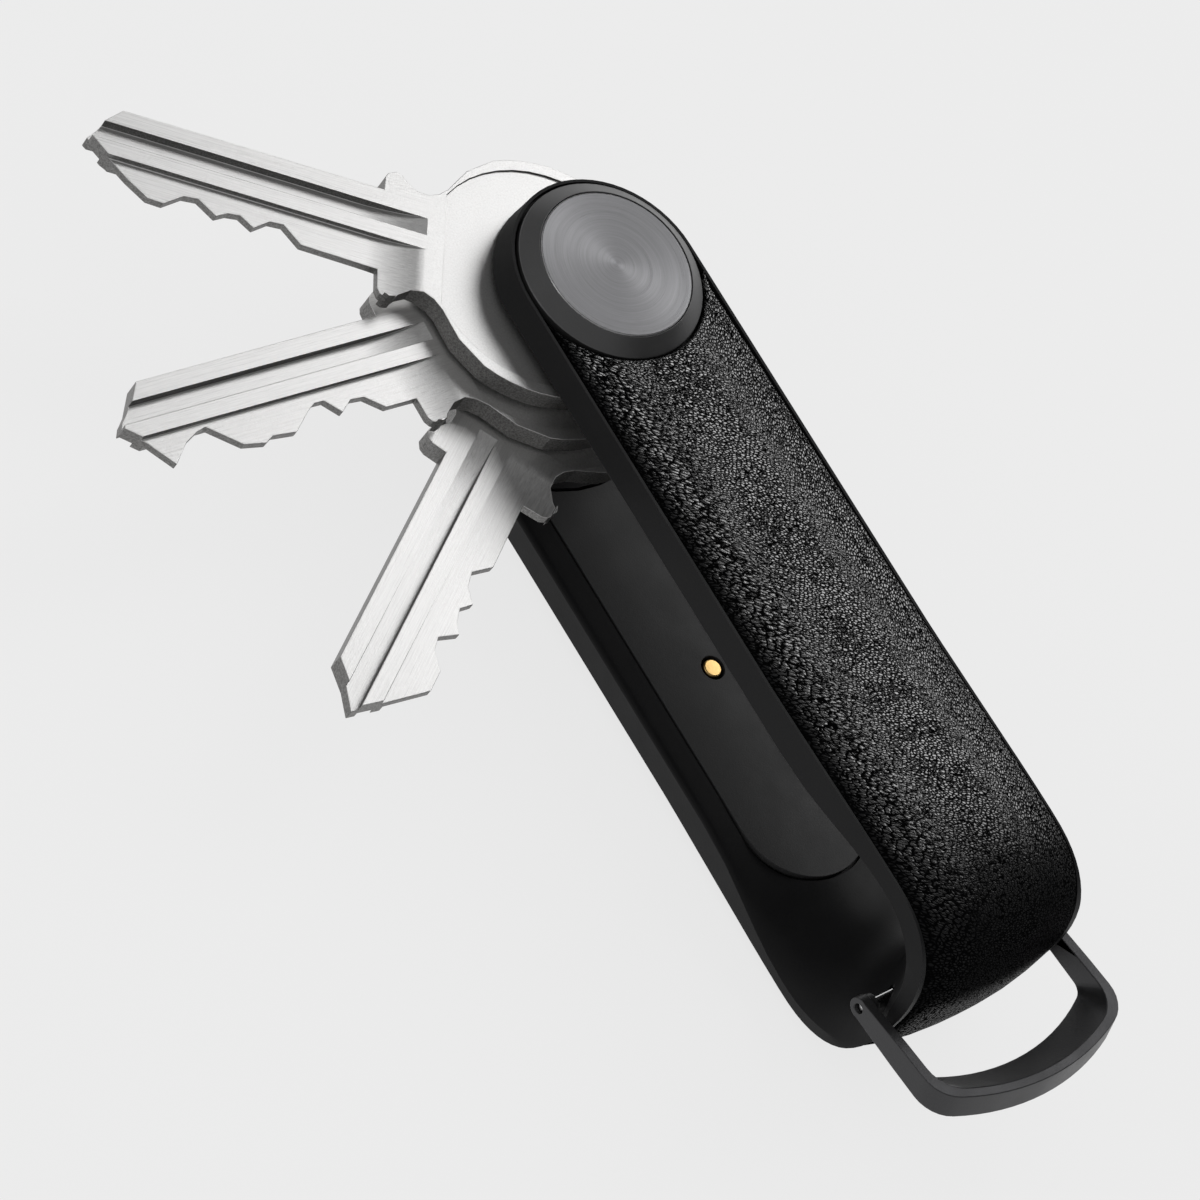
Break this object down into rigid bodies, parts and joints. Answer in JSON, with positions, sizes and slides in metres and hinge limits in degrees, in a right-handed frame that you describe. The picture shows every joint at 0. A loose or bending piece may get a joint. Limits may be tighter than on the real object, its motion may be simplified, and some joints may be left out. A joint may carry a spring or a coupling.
{
  "type": "key organizer",
  "caption": "Folding key organizer: a U-shaped case under a leather strip holds keys on a locking post, with a swinging ring bail at the bend.",
  "frame": {"origin": "on the key post's axis, on the flat outer face of the lock screw, the lowest point as the object lies on its back", "axes": "+X from the key post to the ring bail, +Z out of the front cap along the post, +Y away from the fanned keys"},
  "size_m": [0.1166, 0.0636, 0.0251],
  "materials": {
    "frame_plastic": "fine matt moulded black",
    "cover_leather": "fine pebble grain, black",
    "liner_plastic": "matt black",
    "stud_brass": "satin",
    "bezel_metal": "satin gunmetal coating",
    "rear_bezel_metal": "satin gunmetal coating",
    "disc_steel": "gunmetal, brushed in circles",
    "post_steel": "satin",
    "washer_steel": "satin",
    "screw_steel": "gunmetal, brushed in circles",
    "base_plastic": "matt black",
    "bail_metal": "satin dark grey coating",
    "pin_steel": "bright",
    "spacer_plastic": "matt black",
    "key_nickel": "nickel plated, milled and lightly brushed"
  },
  "bodies": {
    "case": {"frame": "frame_plastic", "leather_cover": "cover_leather", "bay_liner": "liner_plastic", "liner_stud": "stud_brass", "front_bezel": "bezel_metal", "rear_bezel": "rear_bezel_metal", "front_disc": "disc_steel", "pivot_post": "post_steel", "base_washer": "base_plastic", "spacer_1": "spacer_plastic", "spacer_2": "spacer_plastic", "spacer_3": "spacer_plastic", "key_washer_1": "washer_steel", "key_washer_2": "washer_steel"},
    "key_1": {"key_1": "key_nickel"},
    "key_2": {"key_2": "key_nickel"},
    "key_3": {"key_3": "key_nickel"},
    "bail": {"ring_bail": "bail_metal", "bail_pin": "pin_steel"},
    "lock_washer": {"tension_washer": "washer_steel"},
    "lock_screw": {"lock_screw": "screw_steel"}
  },
  "joints": [
    {"name": "key_1_turn", "type": "hinge", "parent": "case", "child": "key_1", "pos_m": [0, 0, 0.0126], "axis": [0, 0, 1], "continuous": true},
    {"name": "key_2_turn", "type": "hinge", "parent": "case", "child": "key_2", "pos_m": [0, 0, 0.0126], "axis": [0, 0, 1], "continuous": true},
    {"name": "key_3_turn", "type": "hinge", "parent": "case", "child": "key_3", "pos_m": [0, 0, 0.0126], "axis": [0, 0, 1], "continuous": true},
    {"name": "bail_swing", "type": "hinge", "parent": "case", "child": "bail", "pos_m": [0.0705, 0, 0.0126], "axis": [0, 1, 0], "range_deg": [-78, 78]},
    {"name": "lock_washer_travel", "type": "slide", "parent": "case", "child": "lock_washer", "axis": [0, 0, -1], "range_m": [0, 0.0012]},
    {"name": "lock_screw_turn", "type": "hinge", "parent": "lock_washer", "child": "lock_screw", "pos_m": [0, 0, 0], "axis": [0, 0, -1], "range_deg": [0, 2160]}
  ],
  "couplings": [
    {"joint": "lock_screw_turn", "follows": "lock_washer_travel", "rad_per_m": 10472}
  ]
}
